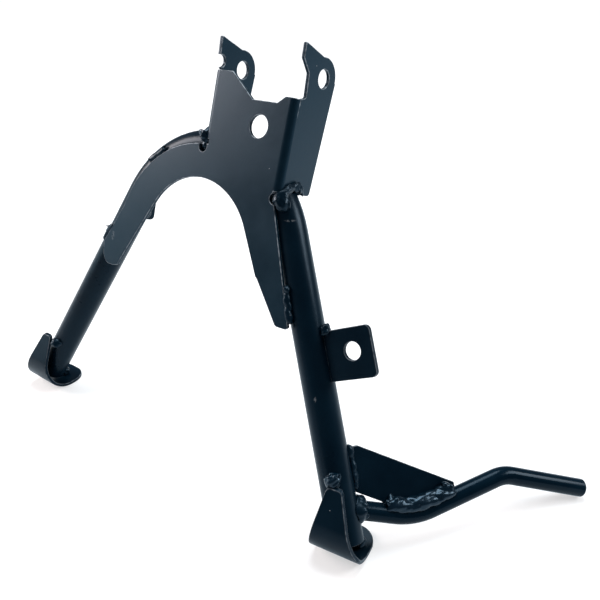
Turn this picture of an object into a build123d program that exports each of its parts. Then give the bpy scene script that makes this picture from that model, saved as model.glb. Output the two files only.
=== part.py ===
"""Motorcycle centre stand, welded from one folded saddle plate, one bent leg tube,
two rocker feet, a kick bar with its gusset, a buffer bracket and a spring lug.

Units are millimetres. The origin is the middle of the pivot axis, +X runs along that axis
to the viewer's right, +Y to the rear and +Z up. The stand is drawn as it rests on a floor,
on both feet and the tip of the kick bar, so its plate leans back.

Every outline is drawn in the stand's own directions: across (x), up the plate (v) and
to the rear of the plate (w), all measured from the pivot axis.
"""
from build123d import *
from math import atan2, cos, radians, sin, sqrt, tan
import os

# Stance
lean_angle = 19.1
pivot_height = 313.5

# Saddle plate, one folded sheet
sheet = 3.0
channel_width = 82.6
wall_depth = 28.4
fold_outer_radius = 5.5
pivot_bore = 13.6
ear_radius = 15.1
ear_tip = (-28.4, 19.2)
ear_neck_w = -4.0
flange_root_w = 15.9
flange_taper = 3.6
right_flange_end = -86.0
left_flange_end = -58.0
right_fold_top = -18.8
left_fold_top = -5.6
pocket_root = (-17.2, -17.0)
pocket_mouth = (-18.8, -0.2)
ear_heel = (-27.8, 8.4)
pin_notch_centre = (-25.6, 1.2)
pin_notch_radius = 4.6
horn_right = -22.4
dip_left = 1.2
dip_right = 24.8
dip_level = -23.8
shoulder = 31.4
wall_hole = 17.0
wall_hole_place = (11.6, -42.3)
relief_radius = 4.2
left_relief_drop = 2.5
right_relief_place = (2.0, -5.0)
dip_round = 2.0
horn_round = 3.0

# Leg tube
tube_diameter = 25.4
tube_wall = 2.3
leg_splay = 26.3
bend_radius = 93.0
arch_offset = -35.4
crown_level = -62.0
leg_end_height = 14.3

# Arch and arms of the plate
arch_band = 34.8
arch_shift = -0.6
arch_rise = 8.2
arm_inner_splay = 30.1
arm_end_drop = 28.5
crown_foot_rise = 27.0
left_arm_overlap = 17.0
left_arm_foot_inset = 6.0
left_shoulder_overlap = 8.5
left_shoulder_rise = 33.0
left_arm_side_rise = 18.5
left_arm_inner_rise = 22.5
left_shoulder_round = 25.0
left_side_round = 6.0
left_tip_round = 10.0
left_foot_round = 14.0
left_inner_round = 20.0
right_arm_overlap = 14.5
right_arm_foot_overlap = 2.8
right_arm_inner_rise = 33.5
right_inner_round = 8.0
right_arm_corner = 4.0
panel_margin = 30.0

# Rocker feet, one pattern, each welded on by hand at its own place and turn
foot_sheet = 3.0
foot_width = 39.6
foot_top_width = 11.5
foot_top_height = 60.0
foot_taper_height = 15.0
foot_top_shift = 6.6
foot_front_angle = 32.4
foot_bend_radius = 24.8
foot_length = 63.0
foot_tail_round = 15.0
foot_top_round = 4.0
foot_tail_lift = 3.0
foot_side_round = 12.0
foot_setback = 2.0
left_foot_shift = -1.1
right_foot_shift = -5.7
left_foot_corner = -40.3
right_foot_corner = -38.7
foot_heading = {-1: -1.0, 1: 9.0}

# Kick bar and its gusset
bar_diameter = 14.5
bar_turn = 51.5
bar_root_rise = 22.6
bar_root_slope = 20.4
bar_root_length = 58.6
bar_tip_reach = 206.6
bar_pedal_length = 74.6
bar_pedal_slope = 21.8
bar_knee_radius = 62.0
bar_heel_radius = 30.0
bar_tip_chamfer = 1.6
gusset_sheet = 3.0
gusset_top = 41.4
gusset_top_inset = 21.0
gusset_reach = 93.0
gusset_nose = 4.4
gusset_clearance = (33.0, 9.0)

# Buffer bracket
bracket_sheet = 3.5
bracket_rise = 121.8
bracket_height = 37.4
bracket_reach = 51.6
bracket_hole = 13.5
bracket_hole_reach = 34.8
bracket_hole_rise = 1.6
bracket_round = 4.5

# Spring lug
lug_sheet = 4.0
lug_offset = -5.2
lug_top = -112.0
lug_bottom = -140.8
lug_depth = 11.6
lug_round = 4.0
lug_hole = 7.0
lug_hole_place = (6.4, -121.0)

# Weld beads, each a row of stops; heights count from the top of the foot's arm
bead_radius = 3.2
bead_taper = 0.45
fine_bead = 2.9
left_fold_angles = (-25, 10, 45, 75)
right_fold_angles = (-38, -5, 30, 55)
right_lump_stops = ((-2.3, 17.4, 0.9), (0.7, 11.9, 1.4), (4.2, 5.9, 1.4))
right_lump_radius = 5.2
top_weld_angles = (43.5, 31)
top_weld_gap = 2.6
side_weld_gap = 2.0
arm_weld_rises = (32.5, 6.5)
left_foot_stops = ((-3.6, -4.3, 10.8), (6.4, -8.2, 13.3))
left_foot_bead = 4.6
right_foot_stops = ((10.4, 0.6, 10.2), (1.2, 1.2, 12.0))
right_foot_bead = 5.9
heel_drop = 2.0
heel_bead = 4.6
heel_rise = 3.6
heel_half_length = 7.0
bracket_stops = ((12.0, 8.5), (15.5, 2.5))
bracket_bead = 3.6
lug_bead = 2.8
gusset_stops = ((13.2, 42.9, 1.5), (13.4, 27.0, 2.6), (13.2, 12.0, 2.6))
bar_weld_reaches = (36, 50, 62, 76, 89)
bar_bead = 5.4
bar_bead_off = 2.6
bar_bead_rise = 0.6
collar_height = 5.5
collar_wall = 3.6
collar_taper = 3.0

# Directions of the leaning stand
lean = radians(lean_angle)
up = Vector(0, sin(lean), cos(lean))
rear = Vector(0, cos(lean), -sin(lean))
across = Vector(1, 0, 0)

# Derived sizes
half_width = channel_width / 2
flat_half = half_width - fold_outer_radius
wall_back = sheet - wall_depth
tube_radius = tube_diameter / 2
tube_w = wall_back + tube_radius
splay = radians(leg_splay)
arch_centre_level = crown_level - bend_radius
apex_level = arch_centre_level + bend_radius / sin(splay)
leg_end_level = (leg_end_height - pivot_height + tube_w * sin(lean)) / cos(lean)
leg_end_reach = (apex_level - leg_end_level) * tan(splay)
bracket_level = leg_end_level + bracket_rise
crown_foot_level = arch_centre_level + crown_foot_rise
arch_radius = bend_radius - arch_band
arch_level = arch_centre_level + arch_rise
arm_end_level = arch_centre_level - arm_end_drop
left_arm_reach = bend_radius + left_arm_overlap
left_arm_foot = bend_radius - left_arm_foot_inset
left_shoulder_reach = bend_radius + left_shoulder_overlap
right_arm_reach = bend_radius + right_arm_overlap
right_arm_foot = bend_radius + right_arm_foot_overlap
foot_shift = {-1: left_foot_shift, 1: right_foot_shift}
foot_corner = {-1: left_foot_corner, 1: right_foot_corner}
arm_edge_level = arm_end_level + right_arm_corner
bar_root_level = leg_end_level + bar_root_rise
bar_radius = bar_diameter / 2


def point(x, v, w):
    """Place of a point given across, up the plate and to its rear."""
    return across * x + up * v + rear * w


def facing(w):
    """Sketch plane parallel to the plate at depth w, seen from the front; extrudes forward."""
    return Plane(origin=rear * w, x_dir=across, z_dir=rear * -1)


def side(x):
    """Sketch plane square to the pivot axis at x, drawn in (w, v); extrudes to the right."""
    return Plane(origin=across * x, x_dir=rear, z_dir=across)


def level(v):
    """Sketch plane square to the plate at height v, drawn in (x, w); extrudes upward."""
    return Plane(origin=up * v, x_dir=across, z_dir=up)


def leg_x(hand, v):
    """Where a leg's axis lies across the stand at height v, for hand 1 right or -1 left."""
    return arch_offset + hand * (apex_level - v) * tan(splay)


def on_leg(hand, off, height, depth):
    """Place beside a leg: off across from its axis, at a height over the floor, depth to the front."""
    w = tube_w - depth
    v = (height - pivot_height + w * sin(lean)) / cos(lean)
    return point(leg_x(hand, v) + off, v, w)


def tube_crossing(x):
    """Level of the tube's axis where it passes x on the right, and how much a section is stretched."""
    reach = x - arch_offset
    if reach < bend_radius * cos(splay):
        drop = sqrt(bend_radius**2 - reach**2)
        return arch_centre_level + drop, bend_radius / drop
    return apex_level - reach / tan(splay), 1 / sin(splay)


def bead(stops, radius=bead_radius):
    """Weld bead: a round rod through the stops with tapered ends, before its neighbours cut it."""
    path = Spline(*stops) if len(stops) > 2 else Line(*stops)
    rod = sweep(Plane(origin=path @ 0, z_dir=path % 0) * Circle(radius), path=path)
    return chamfer(rod.faces().filter_by(GeomType.PLANE).edges(), bead_taper * radius)


def trimmed(rod, *neighbours):
    """Cut a bead by the pieces that it joins and keep its main lump."""
    for neighbour in neighbours:
        rod = (rod - neighbour).solids().sort_by(SortBy.VOLUME)[-1]
    return rod


def save(shape, name):
    """Label a finished piece and write it as its own STEP file."""
    shape.label = name
    export_step(shape, f"parts/{name}.step")


os.makedirs("parts", exist_ok=True)

# Leg tube: one tube bent to an arch, with both legs straight and open at the lower ends
leg_foot = [(leg_x(hand, leg_end_level), leg_end_level) for hand in (-1, 1)]
with BuildPart() as leg_tube:
    with BuildLine(facing(tube_w)) as leg_path:
        FilletPolyline(leg_foot[0], (arch_offset, apex_level), leg_foot[1], radius=bend_radius)
    start = leg_path.line
    with BuildSketch(Plane(origin=start @ 0, z_dir=start % 0)):
        Circle(tube_radius)
    sweep()
tube_envelope = leg_tube.part
with BuildPart() as tube_core:
    with BuildSketch(Plane(origin=start @ 0, z_dir=start % 0)):
        Circle(tube_radius - tube_wall)
    sweep(path=leg_path.line)
save(tube_envelope - tube_core.part, "leg_tube")


# Saddle plate: front wall with the arch and both arms
def arm_inner(v):
    """Half opening of the arch at height v, along the straight inner edge of an arm."""
    slope = radians(arm_inner_splay)
    return arch_radius / cos(slope) + (arch_level - v) * tan(slope)


panel_corner = (flat_half, right_flange_end - 2)
right_inner_level = arm_end_level + right_arm_inner_rise
left_inner_level = arm_end_level + left_arm_inner_rise
crown_foot_reach = sqrt(bend_radius**2 - crown_foot_rise**2)
left_shoulder = (arch_offset - left_shoulder_reach, arm_end_level + left_shoulder_rise)
left_rounds = (left_shoulder_round, left_side_round, left_tip_round, left_foot_round, left_inner_round)
left_side = (arch_offset - left_arm_reach, arm_end_level + left_arm_side_rise)
with BuildPart() as saddle_plate:
    with BuildSketch(facing(wall_back)):
        # Channel panel and right arm
        with BuildLine():
            FilletPolyline(
                (-flat_half, left_fold_top),
                (horn_right, left_fold_top),
                (dip_left, dip_level),
                (dip_right, dip_level),
                (shoulder, right_fold_top),
                (flat_half, right_fold_top),
                panel_corner,
                (arch_offset + right_arm_reach, arm_edge_level),
                (arch_offset + right_arm_reach - right_arm_corner / 2, arm_end_level + 2),
                (arch_offset + right_arm_foot, arm_end_level + 1.5),
                (arch_offset + arm_inner(right_inner_level), right_inner_level),
                (arch_offset - panel_margin, right_inner_level - sheet),
                (arch_offset - panel_margin, crown_foot_level + panel_margin),
                (-flat_half, crown_level - 2),
                radius=(0, horn_round, *[dip_round] * 3, 0, 0, 1.5, 2, 3, right_inner_round, 0, 0, 0),
                close=True,
            )
        make_face()
        # Crown of the arch, its outer edge above the tube's centreline
        with BuildSketch(mode=Mode.PRIVATE) as crown:
            with Locations((arch_offset, arch_centre_level)):
                Circle(bend_radius)
            with Locations((arch_offset - bend_radius / 2, arch_centre_level + bend_radius)):
                Rectangle(bend_radius, 2 * (bend_radius - crown_foot_rise), mode=Mode.INTERSECT)
        add(crown.sketch)
        # Left arm
        with BuildLine():
            FilletPolyline(
                (arch_offset - crown_foot_reach, crown_foot_level),
                left_shoulder,
                left_side,
                (left_side[0] + 2.5, arm_end_level - 0.5),
                (arch_offset - left_arm_foot, arm_end_level - 0.5),
                (arch_offset - arm_inner(left_inner_level), left_inner_level),
                (arch_offset - arm_inner(crown_foot_level) + panel_margin, crown_foot_level),
                radius=(0, *left_rounds, 0),
                close=True,
            )
        make_face()
        # Arch opening between the legs
        opening_x = arch_offset + arch_shift
        with Locations((opening_x, arch_level)):
            Circle(arch_radius, mode=Mode.SUBTRACT)
        tangent_rise = arch_radius * sin(radians(arm_inner_splay))
        tangent_half = arch_radius * cos(radians(arm_inner_splay))
        below_arms = arm_end_level - panel_margin
        with BuildLine():
            Polyline(
                (opening_x - tangent_half, arch_level + tangent_rise),
                (opening_x + tangent_half, arch_level + tangent_rise),
                (opening_x + arm_inner(below_arms), below_arms),
                (opening_x - arm_inner(below_arms), below_arms),
                close=True,
            )
        make_face(mode=Mode.SUBTRACT)
        # Hole in the wall and the relief holes where the folds end
        with Locations(wall_hole_place):
            Circle(wall_hole / 2, mode=Mode.SUBTRACT)
        relief_x, relief_v = right_relief_place
        left_relief = (-half_width, crown_level - left_relief_drop)
        with Locations(left_relief, (flat_half + relief_x, right_flange_end + relief_v)):
            Circle(relief_radius, mode=Mode.SUBTRACT)
    extrude(amount=sheet)
    # Folds
    for hand, top, end in ((-1, left_fold_top, left_flange_end), (1, right_fold_top, right_flange_end)):
        with BuildSketch(level(end)):
            with Locations((hand * flat_half, fold_outer_radius - wall_depth)):
                Circle(fold_outer_radius)
                Circle(fold_outer_radius - sheet, mode=Mode.SUBTRACT)
            with Locations((hand * half_width, -wall_depth)):
                Rectangle(2 * fold_outer_radius, 2 * fold_outer_radius, mode=Mode.INTERSECT)
        extrude(amount=top - end)
    # Flanges with their ears
    fold_line = fold_outer_radius - wall_depth
    for hand, top, end in ((-1, left_fold_top, left_flange_end), (1, right_fold_top, right_flange_end)):
        end_w = flange_root_w + end * tan(radians(flange_taper))
        with BuildSketch(side(half_width - sheet if hand == 1 else -half_width)):
            with BuildLine():
                if hand == 1:
                    front_edge = [(fold_line, top), pocket_root, pocket_mouth, ear_heel]
                    front_rounds = [0.8, 1.5, 2.0, 1.5]
                else:
                    front_edge = [(fold_line, top), (ear_heel[0], top + 4), ear_heel]
                    front_rounds = [0, 0, 1.5]
                FilletPolyline(
                    (fold_line, end),
                    *front_edge,
                    ear_tip,
                    (ear_neck_w, sqrt(ear_radius**2 - ear_neck_w**2)),
                    (0, 0),
                    (flange_root_w, 0),
                    (end_w, end),
                    radius=[0, *front_rounds, 1.2, 0, 0, 0, 3.0],
                    close=True,
                )
            make_face()
            Circle(ear_radius)
            Circle(pivot_bore / 2, mode=Mode.SUBTRACT)
            if hand == -1:
                with Locations(pin_notch_centre):
                    Circle(pin_notch_radius, mode=Mode.SUBTRACT)
        extrude(amount=sheet)
    add(tube_envelope, mode=Mode.SUBTRACT)
save(saddle_plate.part, "saddle_plate")


# Rocker feet: a strip that stands before the leg's end, rolls under it and lies along the floor
def foot(hand):
    """One rocker foot for hand 1 right or -1 left."""
    heading = radians(foot_heading[hand])
    outward = Vector(cos(heading), hand * sin(heading), 0)
    behind = Vector(-hand * sin(heading), cos(heading), 0)
    base_y = point(0, leg_end_level, tube_w).Y + foot_setback
    base = Vector(arch_offset + hand * (leg_end_reach + foot_shift[hand]), base_y, -pivot_height)
    corner = foot_corner[hand]
    middle = foot_sheet / 2
    front = radians(foot_front_angle)
    half_corner = (radians(90) - front) / 2
    bend_centre = (corner + foot_bend_radius / tan(half_corner), foot_bend_radius)
    corner_middle = (corner + middle / tan(half_corner), middle)
    arm_top = foot_top_height + foot_side_round
    arm_end = (corner_middle[0] + (arm_top - middle) * tan(front), arm_top)
    with BuildPart() as strip:
        with BuildSketch(Plane(origin=base - outward * (foot_width / 2), x_dir=behind, z_dir=outward)):
            with BuildLine():
                FilletPolyline(
                    (corner + foot_length, middle),
                    corner_middle,
                    arm_end,
                    radius=foot_bend_radius - middle,
                )
            trace(line_width=foot_sheet)
        extrude(amount=foot_width)
        # The tail ends in a round tongue
        tail_end = base + behind * (corner + foot_length)
        tail_edges = [
            edge
            for edge in strip.edges()
            if abs(edge.length - foot_sheet) < 0.01 and abs((edge.center() - tail_end).dot(behind)) < 0.1
        ]
        fillet(tail_edges, foot_tail_round)
        # The front arm narrows to its top
        top_x = -hand * foot_top_shift
        with BuildSketch(Plane(origin=base + behind * foot_length, x_dir=outward, z_dir=behind * -1)):
            with BuildLine():
                FilletPolyline(
                    (-foot_width / 2, -foot_sheet),
                    (-foot_width / 2, foot_taper_height),
                    (top_x - foot_top_width / 2, foot_top_height),
                    (top_x + foot_top_width / 2, foot_top_height),
                    (foot_width / 2, foot_taper_height),
                    (foot_width / 2, -foot_sheet),
                    radius=(0, foot_side_round, foot_top_round, foot_top_round, foot_side_round, 0),
                    close=True,
                )
            make_face()
        extrude(amount=3 * foot_length, mode=Mode.INTERSECT)
    hinge = Axis(base + behind * bend_centre[0] + Vector(0, 0, bend_centre[1]), outward)
    return strip.part.rotate(hinge, foot_tail_lift)


feet = {}
for hand, name in ((-1, "left_foot"), (1, "right_foot")):
    feet[hand] = foot(hand) - tube_envelope
    save(feet[hand], name)

# Kick bar: it leaves the right leg square to it, out and to the rear, and its tip is on the floor
bar_heading = radians(bar_turn)
leg_up = (point(arch_offset, apex_level, 0) - point(leg_x(1, 0), 0, 0)).normalized()
leg_out = point(cos(splay), 0, 0) + up * sin(splay)
bar_out = leg_out * cos(bar_heading) + rear * sin(bar_heading)
kick_plane = Plane(
    origin=point(leg_x(1, bar_root_level), bar_root_level, tube_w),
    x_dir=bar_out,
    z_dir=bar_out.cross(leg_up),
)
slope = radians(bar_root_slope)
knee = (bar_root_length * cos(slope), -bar_root_length * sin(slope))
pedal_slope = radians(bar_pedal_slope)
pedal_dir = bar_out * cos(pedal_slope) - leg_up * sin(pedal_slope)
dip = -pedal_dir.Z
tip_height = bar_radius * sqrt(1 - dip**2) - bar_tip_chamfer * dip
tip_drop = -pivot_height + tip_height - kick_plane.origin.Z
tip = (bar_tip_reach, (tip_drop - bar_tip_reach * bar_out.Z) / leg_up.Z)
heel = (
    tip[0] - bar_pedal_length * cos(pedal_slope),
    tip[1] + bar_pedal_length * sin(pedal_slope),
)


def kick(out, along, off=0):
    """Place in the kick bar's plane: out from the leg, up along the leg, and off that plane."""
    return kick_plane.from_local_coords((out, along, off))


with BuildPart() as kick_bar:
    with BuildLine(kick_plane) as bar_path:
        FilletPolyline((0, 0), knee, heel, tip, radius=(bar_knee_radius, bar_heel_radius))
    with BuildSketch(Plane(origin=bar_path.line @ 0, z_dir=bar_path.line % 0)):
        Circle(bar_radius)
    sweep()
    chamfer(kick_bar.faces().sort_by(Axis(kick_plane.origin, bar_out))[-1].edges(), bar_tip_chamfer)
    add(tube_envelope, mode=Mode.SUBTRACT)
save(kick_bar.part, "kick_bar")

# Gusset between the leg and the kick bar
rise = atan2(heel[1] - knee[1], heel[0] - knee[0])


knee_run = bar_knee_radius * tan((slope + rise) / 2)
knee_centre = (
    knee[0] - knee_run * cos(slope) + bar_knee_radius * sin(slope),
    knee[1] + knee_run * sin(slope) + bar_knee_radius * cos(slope),
)


def bar_level(out):
    """Height of the bar's centreline in its plane, before, in and after the knee."""
    if out < knee[0] - knee_run * cos(slope):
        return -out * tan(slope)
    if out > knee[0] + knee_run * cos(rise):
        return knee[1] + (out - knee[0]) * tan(rise)
    return knee_centre[1] - sqrt(bar_knee_radius**2 - (out - knee_centre[0]) ** 2)


with BuildPart() as kick_gusset:
    with BuildSketch(kick_plane.offset(-gusset_sheet / 2)):
        with BuildLine():
            FilletPolyline(
                (0, gusset_top),
                (gusset_top_inset, gusset_top),
                (gusset_reach, bar_level(gusset_reach) + bar_radius + gusset_nose),
                (gusset_reach, bar_level(gusset_reach)),
                knee,
                (gusset_clearance[0], bar_level(gusset_clearance[0])),
                (gusset_clearance[0], bar_level(gusset_clearance[0]) + bar_radius + 1),
                (tube_radius - 0.5, gusset_clearance[1]),
                (0, gusset_clearance[1]),
                radius=(0, 3, 1.5, 0, 0, 0, 3, 0, 0),
                close=True,
            )
        make_face()
    extrude(amount=gusset_sheet)
    add(tube_envelope, mode=Mode.SUBTRACT)
    add(kick_bar.part, mode=Mode.SUBTRACT)
save(kick_gusset.part, "kick_gusset")

# Buffer bracket on the outer side of the right leg
bracket_place = Location((leg_x(1, bracket_level), bracket_level, 0), (0, 0, leg_splay))
with BuildPart() as buffer_bracket:
    with BuildSketch(facing(tube_w + bracket_sheet / 2)):
        with Locations(bracket_place):
            with Locations((bracket_reach / 2, 0)):
                RectangleRounded(bracket_reach, bracket_height, bracket_round)
            with Locations((bracket_round, 0)):
                Rectangle(2 * bracket_round, bracket_height)
            with Locations((bracket_hole_reach, bracket_hole_rise)):
                Circle(bracket_hole / 2, mode=Mode.SUBTRACT)
    extrude(amount=bracket_sheet)
    add(tube_envelope, mode=Mode.SUBTRACT)
save(buffer_bracket.part, "buffer_bracket")

# Spring lug: a small plate with a hole, standing on edge behind the left leg
lug_x = leg_x(-1, (lug_top + lug_bottom) / 2) + lug_offset
lug_root = tube_w + tube_radius
with BuildPart() as spring_lug:
    with BuildSketch(side(lug_x - lug_sheet / 2)) as lug_sketch:
        with Locations((lug_root + (lug_depth - tube_radius) / 2, (lug_top + lug_bottom) / 2)):
            Rectangle(lug_depth + tube_radius, lug_top - lug_bottom)
        fillet(lug_sketch.vertices(), lug_round)
        with Locations((lug_root + lug_hole_place[0], lug_hole_place[1])):
            Circle(lug_hole / 2, mode=Mode.SUBTRACT)
    extrude(amount=lug_sheet)
    add(tube_envelope, mode=Mode.SUBTRACT)
save(spring_lug.part, "spring_lug")


# Weld beads, each cut by the pieces that it joins
def around_tube(x, level_v, stretch, angles, offset):
    """Stops around a tube at x, from its top (angle 0) towards its front (angle 90)."""
    reach = tube_radius + offset
    return [
        point(x, level_v + stretch * reach * cos(radians(a)), tube_w - reach * sin(radians(a)))
        for a in angles
    ]


plate = saddle_plate.part
bar = kick_bar.part
gusset = kick_gusset.part
bracket = buffer_bracket.part

left_fold_weld = bead(around_tube(-half_width - 0.8, crown_level, 1, left_fold_angles, 0.6))
save(trimmed(left_fold_weld, tube_envelope, plate), "left_fold_weld")

flange_crossing, flange_stretch = tube_crossing(half_width + 1)
right_fold_stops = around_tube(half_width + 0.6, flange_crossing, flange_stretch, right_fold_angles, 0.4)
lump_stops = [point(half_width + x, flange_crossing + v, wall_back + w) for x, v, w in right_lump_stops]
right_fold_weld = bead(right_fold_stops, fine_bead) + bead(lump_stops, right_lump_radius)
save(trimmed(right_fold_weld, tube_envelope, plate), "right_fold_weld")

edge_radius = bend_radius + top_weld_gap
left_arm_top_weld = bead(
    [
        point(
            arch_offset - edge_radius * sin(radians(a)),
            arch_centre_level + edge_radius * cos(radians(a)),
            wall_back - 0.4,
        )
        for a in top_weld_angles
    ]
)
save(trimmed(left_arm_top_weld, tube_envelope, plate), "left_arm_top_weld")

left_side_stops = [point(x - side_weld_gap, v, wall_back) for x, v in (left_shoulder, left_side)]
save(trimmed(bead(left_side_stops), tube_envelope, plate), "left_arm_side_weld")

edge_slope = (arch_offset + right_arm_reach - panel_corner[0]) / (panel_corner[1] - arm_edge_level)
arm_weld_stops = [
    point(panel_corner[0] + (panel_corner[1] - v) * edge_slope + 0.8, v, wall_back)
    for v in (arm_end_level + rise for rise in arm_weld_rises)
]
save(trimmed(bead(arm_weld_stops, fine_bead), tube_envelope, plate), "right_arm_weld")

foot_welds = (
    (-1, "left_foot_weld", left_foot_stops, left_foot_bead),
    (1, "right_foot_weld", right_foot_stops, right_foot_bead),
)
for hand, name, offsets, radius in foot_welds:
    stops = [on_leg(hand, off, foot_top_height + rise, depth) for off, rise, depth in offsets]
    save(trimmed(bead(stops, radius), tube_envelope, feet[hand]), name)

for hand, name in ((-1, "left_heel_weld"), (1, "right_heel_weld")):
    heel_x = leg_x(hand, leg_end_level - 1)
    heel_height = -pivot_height + foot_sheet + heel_rise
    heel_y = point(0, leg_end_level - heel_drop, 0).Y
    stops = [Vector(heel_x + shift, heel_y, heel_height) for shift in (-heel_half_length, heel_half_length)]
    save(trimmed(bead(stops, heel_bead), tube_envelope, feet[hand]), name)

corner_level = bracket_level + bracket_height / 2
corner_x = leg_x(1, corner_level)
corner_stops = [point(corner_x + x, corner_level + v, tube_w - 1) for x, v in bracket_stops]
save(trimmed(bead(corner_stops, bracket_bead), tube_envelope, bracket), "bracket_weld")

lug_side = lug_x + lug_sheet / 2 + 1
lug_stops = [point(lug_side, v, lug_root + 0.4) for v in (lug_top - 3, lug_bottom + 3)]
save(trimmed(bead(lug_stops, lug_bead), tube_envelope, spring_lug.part), "lug_weld")

gusset_leg_weld = bead([kick(*stop) for stop in gusset_stops], fine_bead)
save(trimmed(gusset_leg_weld, tube_envelope, gusset), "gusset_leg_weld")

bead_level = bar_radius + bar_bead_rise
bar_weld_stops = [kick(out, bar_level(out) + bead_level, bar_bead_off) for out in bar_weld_reaches]
save(trimmed(bead(bar_weld_stops, bar_bead), bar, gusset), "gusset_bar_weld")

collar = Plane(origin=kick_plane.origin, x_dir=kick_plane.z_dir, z_dir=bar_path.line % 0)
collar_stack = (Align.CENTER, Align.CENTER, Align.MIN)
ring = collar * Cylinder(bar_radius + collar_wall, tube_radius + collar_height, align=collar_stack)
rim = ring.edges().filter_by(GeomType.CIRCLE).sort_by(Axis(collar.origin, collar.z_dir))[-1]
save(trimmed(chamfer(rim, collar_taper), tube_envelope, bar, gusset), "kick_bar_weld")
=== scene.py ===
# %% [markdown]
# # A black motorcycle centre stand
# The stand is a welded piece: a folded saddle plate, a bent leg tube, two rolled feet and a
# kick bar. The frame brings its solids. This script gives them rounded sheet edges, lumpy weld
# beads and a black powder coat, and sets up a pale studio with the camera of the photograph.

# %% Load the stand
import random
from math import cos, radians, sin

import bmesh
import bpy
from mathutils import Matrix, Vector
from mathutils.bvhtree import BVHTree


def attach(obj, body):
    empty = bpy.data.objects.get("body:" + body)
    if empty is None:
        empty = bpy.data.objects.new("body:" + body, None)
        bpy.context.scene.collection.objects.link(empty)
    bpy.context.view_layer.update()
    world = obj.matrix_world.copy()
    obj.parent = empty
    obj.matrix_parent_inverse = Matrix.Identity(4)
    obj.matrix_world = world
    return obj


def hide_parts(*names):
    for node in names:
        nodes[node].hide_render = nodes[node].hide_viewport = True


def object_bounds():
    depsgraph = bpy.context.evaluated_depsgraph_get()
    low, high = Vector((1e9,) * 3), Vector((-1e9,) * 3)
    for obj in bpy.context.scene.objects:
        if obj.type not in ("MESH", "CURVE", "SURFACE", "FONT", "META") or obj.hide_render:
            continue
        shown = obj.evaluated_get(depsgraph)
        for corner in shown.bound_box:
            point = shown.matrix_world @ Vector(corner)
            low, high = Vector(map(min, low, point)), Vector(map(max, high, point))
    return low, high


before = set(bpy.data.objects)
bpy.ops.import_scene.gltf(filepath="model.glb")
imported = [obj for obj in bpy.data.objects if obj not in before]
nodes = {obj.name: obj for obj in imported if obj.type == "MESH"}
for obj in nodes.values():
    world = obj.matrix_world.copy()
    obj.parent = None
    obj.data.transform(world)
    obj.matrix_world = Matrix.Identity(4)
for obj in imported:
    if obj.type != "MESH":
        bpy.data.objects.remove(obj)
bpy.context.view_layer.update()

scene = bpy.context.scene

# %% [markdown]
# ## Camera
# The stand was photographed from its right front, from a little above its pivots. A camera is
# three directions and a place, so its matrix is built from the turn to the left, the tilt
# downwards and the slight roll, which is easier to check than three Euler angles.

# %% Set the camera
PHOTO_SIDE = 600
FOCAL_PIXELS = 621.98
SENSOR_WIDTH = 36
CAMERA_PLACE = Vector((0.31815, -0.39051, 0.07086))
CAMERA_TURN = radians(37.54)
CAMERA_TILT = radians(27.96)
CAMERA_ROLL = radians(-0.28)


def camera_axes(turn, tilt, roll):
    """Right, up and backward directions of a camera turned to the left, tilted down and rolled."""
    forward = Vector((-sin(turn) * cos(tilt), cos(turn) * cos(tilt), -sin(tilt)))
    right = Vector((cos(turn), sin(turn), 0))
    up = right.cross(forward)
    rolled_right = cos(roll) * right + sin(roll) * up
    rolled_up = cos(roll) * up - sin(roll) * right
    return rolled_right, rolled_up, -forward


camera_data = bpy.data.cameras.new("photo_camera")
camera_data.sensor_width = SENSOR_WIDTH
camera_data.lens = FOCAL_PIXELS * SENSOR_WIDTH / PHOTO_SIDE
camera = bpy.data.objects.new("photo_camera", camera_data)
scene.collection.objects.link(camera)
axes = Matrix(camera_axes(CAMERA_TURN, CAMERA_TILT, CAMERA_ROLL)).transposed()
camera.matrix_world = Matrix.Translation(CAMERA_PLACE) @ axes.to_4x4()
scene.camera = camera
print("lens in mm:", round(camera_data.lens, 2))

# %% [markdown]
# ## Helpers for shader nodes
# Every finish here is a chain of nodes. One helper adds a node with its settings and inputs,
# and the others are short chains that the finishes use again and again, so that a material
# reads from top to bottom like a recipe.


# %% Shader helpers
def add_node(tree, kind, inputs=(), **settings):
    """Add one shader node. An input's value is a number, a colour or another node's output."""
    node = tree.nodes.new("ShaderNode" + kind)
    for name, value in settings.items():
        setattr(node, name, value)
    for name, value in dict(inputs).items():
        if isinstance(value, bpy.types.NodeSocket):
            tree.links.new(value, node.inputs[name])
        else:
            node.inputs[name].default_value = value
    return node


def mixed_colour(tree, share, first, second):
    """Output of a colour mix that goes from the first to the second as the share rises."""
    mix = add_node(tree, "Mix", data_type="RGBA")
    for socket, value in ((mix.inputs[0], share), (mix.inputs[6], first), (mix.inputs[7], second)):
        if isinstance(value, bpy.types.NodeSocket):
            tree.links.new(value, socket)
        else:
            socket.default_value = value
    return mix.outputs[2]


def remapped(tree, value, low, high, new_low=0.0, new_high=1.0):
    """Output that stretches a value's range, held inside its new limits."""
    stretch = add_node(tree, "MapRange", {"Value": value, "From Min": low, "From Max": high,
                                          "To Min": new_low, "To Max": new_high})
    return stretch.outputs["Result"]


def plain_math(tree, operation, first, second):
    """Output of one operation on two numbers."""
    step = add_node(tree, "Math", {0: first, 1: second}, operation=operation)
    return step.outputs[0]


def noise(tree, place, lumps_per_metre, detail, roughness=0.5):
    """Output of a cloudy noise, with about so many lumps to the metre."""
    inputs = {"Vector": place, "Scale": lumps_per_metre, "Detail": detail, "Roughness": roughness}
    return add_node(tree, "TexNoise", inputs).outputs["Fac"]


def new_material(name):
    """A material with its own empty tree and an output."""
    material = bpy.data.materials.new(name)
    material.use_nodes = True
    material.node_tree.nodes.clear()
    output = material.node_tree.nodes.new("ShaderNodeOutputMaterial")
    return material, material.node_tree, output


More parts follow.
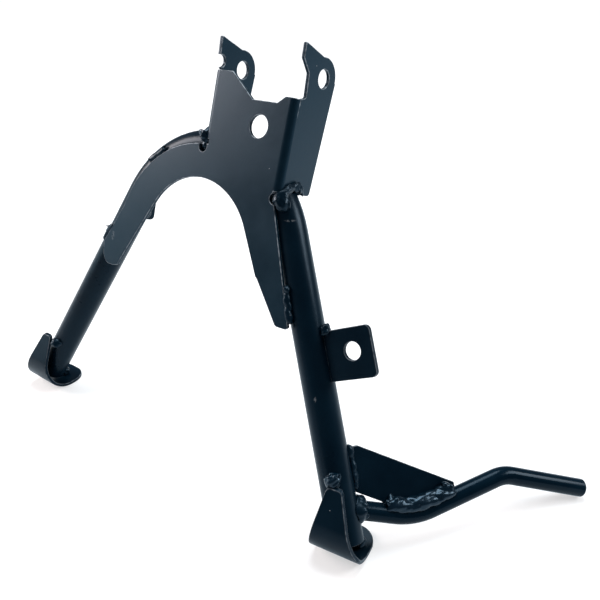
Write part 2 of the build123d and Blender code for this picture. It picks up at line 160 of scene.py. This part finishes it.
# %% [markdown]
# ## Scratches
# The coat is scuffed in three places: on the right leg, at the right bend and on the left arm.
# Each scuff is a thin, broken line. The distance to its middle counts more across the line than
# along it, which gives the line its shape, and a fine noise breaks it into crumbs. A painted
# picture could do this too, but noise needs no file and stays sharp from close by.

# %% Scratch the coat
CRUMBS_PER_METRE = 700.0
CRUMB_RANGE = (0.46, 0.56)
SCRATCH_REACH = 0.0018
SCRATCH_CORE = 0.0009
SCRATCH_STRENGTH = 0.3

# Middle of each scratch, and how narrow it is along x, y and z.
SCRATCHES = (
    ((0.1056, -0.0968, -0.2032), (1.5, 1.5, 0.20)),
    ((0.0518, -0.0554, -0.0910), (0.35, 0.35, 2.2)),
    ((-0.1339, -0.0784, -0.1395), (0.8, 1.0, 0.18)),
)


def scratches(tree, place):
    """Output that rises along a few short, broken scratches."""
    crumbs = noise(tree, place, CRUMBS_PER_METRE, 1.0)
    lines = 0.0
    for middle, narrow in SCRATCHES:
        offset = add_node(tree, "VectorMath", {0: place, 1: middle}, operation="SUBTRACT")
        squeezed = add_node(tree, "VectorMath", {0: offset.outputs[0], 1: narrow},
                            operation="MULTIPLY")
        apart = add_node(tree, "VectorMath", {0: squeezed.outputs[0]}, operation="LENGTH")
        line = remapped(tree, apart.outputs["Value"], SCRATCH_REACH, SCRATCH_CORE)
        lines = plain_math(tree, "MAXIMUM", lines, line)
    strength = remapped(tree, crumbs, *CRUMB_RANGE, 0.0, SCRATCH_STRENGTH)
    return plain_math(tree, "MULTIPLY", lines, strength)


print("scratches:", len(SCRATCHES))

# %% [markdown]
# ## Black powder coat
# Powder is sprayed on dry and melts to one skin, so the coat has a faint orange peel about a
# millimetre wide and slow clouds in its gloss. Along the rounded edges the colour is mixed
# towards grey: a painted highlight for the light those edges catch, together with coat worn
# thin there. A few grains of dust are baked in. Noise in object coordinates gives all of these
# without a picture, and the rim attribute, written when an edge is rounded, tells the coat
# where that painted edge highlight and wear go.

# %% Mix the powder coat
CLOUDS_PER_METRE = 28.0
WAVES_PER_METRE = 240.0
PEEL_PER_METRE = 950.0
COLOUR_CLOUDS = (0.35, 0.65)
GLOSS_CLOUDS = (0.3, 0.7)
SHEEN_AND_WEAR_WAVES = (0.38, 0.62)
LEAST_SHEEN_AND_WEAR = 0.25
WAVE_HEIGHT = 2.0
GRAIN_CORE = 0.6
PEEL_HEIGHT = 0.000012

# Grey mixed into the coat along rounded edges: a painted highlight, together with edge wear.
RIM_SHEEN_AND_WEAR_GREY = (0.34, 0.38, 0.42, 1)
DUST_GREY = (0.30, 0.32, 0.34, 1)
COOL_SHINE = (0.46, 0.74, 1.0, 1)
GLAZE = 0.02
GLAZE_ROUGHNESS = 0.16


def sheened_and_worn_colour(tree, place, cloud, waves, blacks, grains_per_metre, grain_size):
    """Output with the coat's colour: two blacks, a painted grey highlight with wear on the rims,
    scratches and baked-in dust.
    """
    grains = add_node(tree, "TexVoronoi", {"Vector": place, "Scale": grains_per_metre,
                                           "Randomness": 1.0}).outputs["Distance"]
    rim = add_node(tree, "Attribute", attribute_name="rim").outputs["Fac"]
    sheen_and_wear = plain_math(tree, "MULTIPLY", rim, remapped(tree, waves, *SHEEN_AND_WEAR_WAVES, LEAST_SHEEN_AND_WEAR, 1.0))
    dust = plain_math(tree, "MAXIMUM", scratches(tree, place),
                      remapped(tree, grains, grain_size, grain_size * GRAIN_CORE))
    black = mixed_colour(tree, remapped(tree, cloud, *COLOUR_CLOUDS), *blacks)
    # Mix towards grey on the rims: painted edge highlight and wear.
    sheened_and_worn = mixed_colour(tree, sheen_and_wear, black, RIM_SHEEN_AND_WEAR_GREY)
    return mixed_colour(tree, dust, sheened_and_worn, DUST_GREY)


def powder_coat(name, blacks, gloss_range, shine, grains, peel_height=PEEL_HEIGHT):
    """Black powder coat between two blacks; its roughness runs over the gloss range."""
    material, tree, output = new_material(name)
    place = add_node(tree, "TexCoord").outputs["Object"]
    cloud = noise(tree, place, CLOUDS_PER_METRE, 4.0, 0.6)
    peel = noise(tree, place, PEEL_PER_METRE, 2.0)
    waves = noise(tree, place, WAVES_PER_METRE, 1.0, 0.4)
    colour = sheened_and_worn_colour(tree, place, cloud, waves, blacks, *grains)
    gloss = remapped(tree, cloud, *GLOSS_CLOUDS, *gloss_range)
    height = plain_math(tree, "ADD", peel, plain_math(tree, "MULTIPLY", waves, WAVE_HEIGHT))
    bump = add_node(tree, "Bump", {"Height": height, "Distance": peel_height, "Strength": 1.0})
    shader = add_node(tree, "BsdfPrincipled", {
        "Base Color": colour, "Roughness": gloss, "Normal": bump.outputs["Normal"],
        "Specular IOR Level": shine, "Specular Tint": COOL_SHINE,
        "Coat Weight": GLAZE, "Coat Roughness": GLAZE_ROUGHNESS})
    tree.links.new(shader.outputs["BSDF"], output.inputs["Surface"])
    return material


# %% [markdown]
# ## One coat, six glosses
# All of the stand is sprayed in one go, but the wide plate reads greyer, the
# tube and the bar darker, and the beads glossier. Each kind of piece therefore has its own mix
# of the same recipe, with its blacks, its range of roughness, its shine and its dust. The
# plate's lighter, bluer blacks are a painted reflection of the floor behind it.

# %% Mix a coat for each kind of piece
DEEP_BLACK = ((0.0005, 0.0050, 0.0105, 1), (0.0012, 0.0080, 0.0155, 1))
# The plate's blacks are lighter and bluer than the deep black: a painted reflection of the floor
# behind it.
PLATE_BLACK_PAINTED_REFLECTION = ((0.0005, 0.0085, 0.0165, 1), (0.0014, 0.0120, 0.0220, 1))
WELD_PEEL_HEIGHT = 0.00002

# Grains of dust to the metre, and a grain's size in the pattern.
SHEET_GRAINS = (55.0, 0.022)
TUBE_GRAINS = (45.0, 0.020)
WELD_GRAINS = (90.0, 0.030)

plate_coat = powder_coat("plate_powder_coat", PLATE_BLACK_PAINTED_REFLECTION, (0.30, 0.39), 0.26, SHEET_GRAINS)
sheet_coat = powder_coat("sheet_powder_coat", DEEP_BLACK, (0.28, 0.36), 0.12, SHEET_GRAINS)
tube_coat = powder_coat("tube_powder_coat", DEEP_BLACK, (0.26, 0.34), 0.14, TUBE_GRAINS)
bar_coat = powder_coat("bar_powder_coat", DEEP_BLACK, (0.15, 0.21), 0.10, TUBE_GRAINS)
weld_coat = powder_coat("weld_powder_coat", DEEP_BLACK, (0.24, 0.34), 0.20, WELD_GRAINS,
                        WELD_PEEL_HEIGHT)
bright_weld_coat = powder_coat("bright_weld_coat", DEEP_BLACK, (0.22, 0.30), 0.36, WELD_GRAINS,
                               WELD_PEEL_HEIGHT)
coats = (plate_coat, sheet_coat, tube_coat, bar_coat, weld_coat, bright_weld_coat)
print("coats:", [coat.name for coat in coats])

# %% [markdown]
# ## Rounded edges
# A punched sheet never has a razor edge: shearing leaves a burr, tumbling rounds it to about
# half a millimetre, and that rounding is the thin bright line seen along the plate. The solids
# are copied, their corners joined, flat fields dissolved to single faces, and every sharp edge
# bevelled. The inner lines of each bevel are marked as rim, where the coat adds a painted grey
# highlight together with edge wear.

# %% Round the edges of a solid
JOIN_DISTANCE = 0.000001
SHORTEST_EDGE = 0.00005
FLAT_ANGLE = radians(0.5)
SHARP_ANGLE = radians(38)
ROUNDING_STEPS = 3


def joined_form(node):
    """A bmesh of the node's own surface, with its loose corners joined."""
    form = bmesh.new()
    form.from_mesh(nodes[node].data)
    bmesh.ops.remove_doubles(form, verts=form.verts[:], dist=JOIN_DISTANCE)
    return form


def rounded_edges(form, width, sheen_and_wear):
    """Bevel every sharp edge and mark the inner lines of each bevel as rim, for the painted edge
    highlight and wear.
    """
    bmesh.ops.remove_doubles(form, verts=form.verts[:], dist=SHORTEST_EDGE)
    bmesh.ops.dissolve_limit(form, angle_limit=FLAT_ANGLE, verts=form.verts[:], edges=form.edges[:],
                             use_dissolve_boundaries=False, delimit={"NORMAL"})
    sharp = [edge for edge in form.edges
             if len(edge.link_faces) == 2 and edge.calc_face_angle() > SHARP_ANGLE]
    made = bmesh.ops.bevel(form, geom=sharp, offset=width, segments=ROUNDING_STEPS, profile=0.5,
                           affect="EDGES", material=-1, clamp_overlap=False, loop_slide=False)
    bevels = set(made["faces"])
    rim = form.verts.layers.float.new("rim")
    for vert in form.verts:
        vert[rim] = sheen_and_wear * all(face in bevels for face in vert.link_faces)
    return len(sharp)


# %% [markdown]
# ## Sheet, tube and bar
# Each copy stands for its solid and rides on the stand's only body. Smooth shading alone would
# bend the light over the big flat fields, so a weighted normal lets the large faces rule the
# small ones of the rounding. The plate's rims carry the most painted edge highlight and wear.

# %% Make the coated pieces
FIELD_ANGLE = radians(60)
FIELD_WEIGHT = 80
# How strongly each piece's rims take the painted edge highlight and wear.
PLATE_SHEEN_AND_WEAR = 1.0
PLAIN_SHEEN_AND_WEAR = 0.4

# Width of the rounding along the edges of each piece.
EDGE_WIDTHS = {
    "saddle_plate": 0.0006, "left_foot": 0.0006, "right_foot": 0.0006, "kick_gusset": 0.0006,
    "buffer_bracket": 0.0006, "spring_lug": 0.0005, "kick_bar": 0.0004, "leg_tube": 0.0003,
}
SPECIAL_COATS = {"saddle_plate": plate_coat, "leg_tube": tube_coat, "kick_bar": bar_coat}


def coated_piece(form, node, coat, suffix):
    """Turn a bmesh into a smooth piece that stands for its node."""
    mesh = bpy.data.meshes.new(node + suffix)
    form.to_mesh(mesh)
    form.free()
    mesh.materials.clear()
    mesh.materials.append(coat)
    mesh.shade_smooth()
    piece = bpy.data.objects.new(node + suffix, mesh)
    scene.collection.objects.link(piece)
    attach(piece, "root")
    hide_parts(node)
    return piece


def keep_flats_flat(piece):
    """Let the big flat faces rule the normals of their rounded edges."""
    piece.data.set_sharp_from_angle(angle=FIELD_ANGLE)
    weighted = piece.modifiers.new("flat_fields", "WEIGHTED_NORMAL")
    weighted.weight = FIELD_WEIGHT
    weighted.keep_sharp = True


for node, width in EDGE_WIDTHS.items():
    form = joined_form(node)
    edges = rounded_edges(form, width, PLATE_SHEEN_AND_WEAR if node == "saddle_plate" else PLAIN_SHEEN_AND_WEAR)
    piece = coated_piece(form, node, SPECIAL_COATS.get(node, sheet_coat), "_coated")
    keep_flats_flat(piece)
    print(node, "rounded edges:", edges, "faces:", len(piece.data.polygons))

# %% [markdown]
# ## Even skin for a bead
# A bead's solid is a plain rod cut by its neighbours, with long, thin faces that can't take
# lumps. A voxel remesh wraps it in small, even faces, and it melts whatever is laid on the bead
# into the same skin, so this step is used both before and after the drops are laid.

# %% Remesh and soften
VOXEL = 0.00045
SMOOTH_SHARE = 0.5


def evenly_meshed(form):
    """The same form with a fine, even skin, by a voxel remesh."""
    mesh = bpy.data.meshes.new("rough_bead")
    form.to_mesh(mesh)
    form.free()
    rough = bpy.data.objects.new("rough_bead", mesh)
    scene.collection.objects.link(rough)
    remesh = rough.modifiers.new("even_skin", "REMESH")
    remesh.mode = "VOXEL"
    remesh.voxel_size = VOXEL
    bpy.context.view_layer.update()
    finished = rough.evaluated_get(bpy.context.evaluated_depsgraph_get())
    shaped = bpy.data.meshes.new_from_object(finished)
    even = bmesh.new()
    even.from_mesh(shaped)
    bpy.data.objects.remove(rough)
    bpy.data.meshes.remove(mesh)
    bpy.data.meshes.remove(shaped)
    return even


def soften(form, rounds):
    """Smooth the whole skin a few times."""
    for _ in range(rounds):
        bmesh.ops.smooth_vert(form, verts=form.verts[:], factor=SMOOTH_SHARE, use_axis_x=True,
                              use_axis_y=True, use_axis_z=True)


# %% [markdown]
# ## Open side of a bead
# Half of each bead is buried in the metal that it joins, and drops laid there would poke through
# on the far side. A search tree over the other solids tells, for each point of the skin, whether
# it is buried and whether metal stands close ahead of it. What is left is the open side.

# %% Find the open side
OPEN_REACH = 0.005
SKIN_GAP = 0.0003


def solids_without_welds():
    """A search tree over the sheets, the tube and the bar."""
    whole = bmesh.new()
    for node in nodes:
        if not node.endswith("_weld"):
            whole.from_mesh(nodes[node].data)
    tree = BVHTree.FromBMesh(whole)
    whole.free()
    return tree


def open_spots(form, solids):
    """Places and directions of the skin that lie in the open, not buried in a neighbour."""
    spots = []
    form.normal_update()
    for vert in form.verts:
        near, facing, _, _ = solids.find_nearest(vert.co)
        buried = (vert.co - near).dot(facing) < 0
        ahead = solids.ray_cast(vert.co + vert.normal * SKIN_GAP, vert.normal, OPEN_REACH)[0]
        if not buried and ahead is None:
            spots.append((vert.co.copy(), vert.normal.copy()))
    return spots


solids = solids_without_welds()
print("search tree over:", sum(not node.endswith("_weld") for node in nodes), "solids")

# %% [markdown]
# ## Drops on the beads
# The beads were laid by hand in short runs. Each run freezes as a row of overlapping drops with
# creases between them, and the coat is glossier there, so the welds sparkle. Flattened balls are
# laid at random on the open side, roughly along the run, and sunk until their caps stand out. A
# second remesh melts them together and leaves the creases. Plain noise could push the skin in
# and out too, but its lumps have no direction, and a weld's drops do.

# %% Lay the drops
SWAY = 0.35
DROP_SIZES = (0.75, 1.15)
SUNK_SHARE = 0.45
BALL_STEPS = 3
draw = random.Random(11)


def bead_direction(form):
    """Direction between the bead's two farthest ends."""
    form.verts.ensure_lookup_table()
    first = max(form.verts, key=lambda vert: (vert.co - form.verts[0].co).length)
    last = max(form.verts, key=lambda vert: (vert.co - first.co).length)
    return (last.co - first.co).normalized()


def lay_drops(form, spots, count, half_length, half_width, half_depth):
    """Add flattened, overlapping drops on the bead, roughly along its run."""
    run = bead_direction(form)
    for place, facing in draw.sample(spots, min(count, len(spots))):
        sway = Vector([draw.uniform(-SWAY, SWAY) for _ in range(3)])
        along = run + sway
        along = (along - facing * along.dot(facing)).normalized()
        turn = Matrix((along, facing.cross(along), facing)).transposed().to_4x4()
        size = draw.uniform(*DROP_SIZES)
        shape = Matrix.Diagonal((half_length * size, half_width * size, half_depth * size, 1))
        centre = Matrix.Translation(place - facing * half_depth * SUNK_SHARE)
        bmesh.ops.create_icosphere(form, subdivisions=BALL_STEPS, radius=1.0,
                                   matrix=centre @ turn @ shape)


# %% [markdown]
# ## All the welds
# Each bead was laid in its own way: long, wide drops along the gusset, small ones on the
# bracket, a flat smear on the left arm. At the left fold some weld has run into the relief
# hole. The count and size of the drops are chosen bead by bead from the photograph.

# %% Shape the welds
# Number of drops, then a drop's half length, half width and half thickness.
DROP_SETS = {
    "gusset_bar_weld": (40, 0.0076, 0.0032, 0.0027),
    "right_foot_weld": (16, 0.0042, 0.0018, 0.0014),
    "right_fold_weld": (26, 0.0050, 0.0034, 0.0012),
    "left_fold_weld": (26, 0.0060, 0.0034, 0.0014),
    "right_arm_weld": (20, 0.0040, 0.0024, 0.0022),
    "bracket_weld": (12, 0.0034, 0.0022, 0.0012),
    "kick_bar_weld": (12, 0.0036, 0.0022, 0.0010),
    "left_arm_side_weld": (6, 0.0060, 0.0020, 0.0005),
    "left_arm_top_weld": (14, 0.0045, 0.0016, 0.0008),
}
PLAIN_DROPS = (14, 0.0042, 0.0025, 0.0018)
BRIGHT_WELDS = ("gusset_bar_weld", "right_foot_weld", "left_arm_side_weld", "left_fold_weld")
RUN_IN_PLACE = (-0.0423, -0.0422, -0.0521)
RUN_IN_RADIUS = 0.0041
SOFT_ROUNDS = 7

for node in sorted(nodes):
    if not node.endswith("_weld"):
        continue
    form = evenly_meshed(joined_form(node))
    spots = open_spots(form, solids)
    lay_drops(form, spots, *DROP_SETS.get(node, PLAIN_DROPS))
    if node == "left_fold_weld":
        bmesh.ops.create_icosphere(form, subdivisions=BALL_STEPS, radius=RUN_IN_RADIUS,
                                   matrix=Matrix.Translation(RUN_IN_PLACE))
    form = evenly_meshed(form)
    soften(form, SOFT_ROUNDS)
    coat = bright_weld_coat if node in BRIGHT_WELDS else weld_coat
    piece = coated_piece(form, node, coat, "_bead")
    print(node, "open places:", len(spots), "faces:", len(piece.data.polygons))

# %% [markdown]
# ## Floor
# The photograph has a white ground with soft shadows under the feet. The floor's own colour is
# a light grey, and the rest of its brightness is added for camera and mirror rays alone, so the
# ground reads white without more light falling on the black coat. What the coat mirrors of it is
# bluish and fades towards the front, because the folds that face the viewer stay nearly black.

# %% Mix the floor
FLOOR_GREY = (0.50, 0.51, 0.52, 1)
MIRRORED_TINT = (0.55, 0.82, 1.0, 1)
WHITE = (1, 1, 1, 1)
FRONT_DARK = -0.70
FRONT_LIGHT = -0.10
NEAR_REACH = 0.6
FAR_REACH = 2.2
LIFT_NEAR = 0.54
LIFT_FAR = 0.95

floor_material, tree, output = new_material("studio_floor")
rays = add_node(tree, "LightPath")
place = add_node(tree, "TexCoord").outputs["Object"]
ahead = add_node(tree, "SeparateXYZ", {"Vector": place}).outputs["Y"]
share = remapped(tree, ahead, FRONT_DARK, FRONT_LIGHT)
mirrored = plain_math(tree, "MULTIPLY", rays.outputs["Is Glossy Ray"], share)
seen = plain_math(tree, "MAXIMUM", rays.outputs["Is Camera Ray"], mirrored)
lift_colour = mixed_colour(tree, rays.outputs["Is Camera Ray"], MIRRORED_TINT, WHITE)
from_stand = add_node(tree, "VectorMath", {0: place}, operation="LENGTH").outputs["Value"]
brightness = remapped(tree, from_stand, NEAR_REACH, FAR_REACH, LIFT_NEAR, LIFT_FAR)
strength = plain_math(tree, "MULTIPLY", seen, brightness)
matt = add_node(tree, "BsdfDiffuse", {"Color": FLOOR_GREY})
lift = add_node(tree, "Emission", {"Color": lift_colour, "Strength": strength})
both = add_node(tree, "AddShader")
tree.links.new(matt.outputs[0], both.inputs[0])
tree.links.new(lift.outputs[0], both.inputs[1])
tree.links.new(both.outputs[0], output.inputs["Surface"])
print("floor material:", floor_material.name)

# %% [markdown]
# The floor is one big square at the level of the feet. It is far wider than the picture, so its
# edge is never seen.

# %% Lay the floor
FLOOR_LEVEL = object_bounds()[0][2]
FLOOR_HALF = 14.0

floor_form = bmesh.new()
bmesh.ops.create_grid(floor_form, x_segments=1, y_segments=1, size=FLOOR_HALF)
bmesh.ops.translate(floor_form, verts=floor_form.verts[:], vec=(0, 0, FLOOR_LEVEL))
floor_mesh = bpy.data.meshes.new("studio_floor")
floor_form.to_mesh(floor_mesh)
floor_form.free()
floor_mesh.materials.append(floor_material)
floor = bpy.data.objects.new("studio_floor", floor_mesh)
scene.collection.objects.link(floor)
print("floor level:", round(FLOOR_LEVEL, 4))

# %% [markdown]
# ## World
# The world gives a faint, cool light from all sides, as the white walls of a studio do. For the
# camera alone it is white, which closes the picture above the floor's far edge.

# %% Make the world
AROUND_COLOUR = (0.80, 0.88, 1.0, 1)
AROUND_STRENGTH = 0.20

world = bpy.data.worlds.new("studio_world")
scene.world = world
world.use_nodes = True
tree = world.node_tree
tree.nodes.clear()
rays = add_node(tree, "LightPath")
around = add_node(tree, "Background", {"Color": AROUND_COLOUR, "Strength": AROUND_STRENGTH})
behind = add_node(tree, "Background", {"Color": WHITE, "Strength": 1.0})
choice = add_node(tree, "MixShader", {"Fac": rays.outputs["Is Camera Ray"]})
tree.links.new(around.outputs[0], choice.inputs[1])
tree.links.new(behind.outputs[0], choice.inputs[2])
tree.links.new(choice.outputs[0], tree.nodes.new("ShaderNodeOutputWorld").inputs["Surface"])
print("world strength:", AROUND_STRENGTH)

# %% [markdown]
# ## Soft boxes
# Four soft boxes light the stand. The large one stands to the left front, where the saddle plate
# mirrors it towards the camera, and a faint one under it reaches the left arm. One from the right
# back draws the long light lines on the tubes, and a wide one above lights the arch and ground.

# %% Place the soft boxes
AIM = Vector((0.0, -0.06, -0.15))


def soft_box(name, place, size, power, colour):
    """A rectangular lamp, so wide and so high, that looks at the middle of the stand."""
    lamp = bpy.data.lights.new(name, "AREA")
    lamp.shape = "RECTANGLE"
    lamp.size, lamp.size_y = size
    lamp.energy = power
    lamp.color = colour
    holder = bpy.data.objects.new(name, lamp)
    scene.collection.objects.link(holder)
    aim = (AIM - Vector(place)).to_track_quat("-Z", "Y").to_matrix().to_4x4()
    holder.matrix_world = Matrix.Translation(Vector(place)) @ aim
    print(name, "in W:", power)


soft_box("left_box", (-1.56, -0.78, 0.70), (0.9, 0.9), 41, (1.0, 0.85, 0.80))
soft_box("left_low_box", (-1.50, -0.86, 0.02), (0.9, 0.45), 2.5, (0.62, 0.88, 1.0))
soft_box("right_back_box", (1.12, 0.72, 0.70), (0.7, 0.6), 17, (1.0, 0.97, 0.95))
soft_box("top_box", (-0.3, 0.55, 1.6), (1.2, 1.2), 44, (0.93, 0.98, 1.0))
scene.view_settings.view_transform = "Standard"
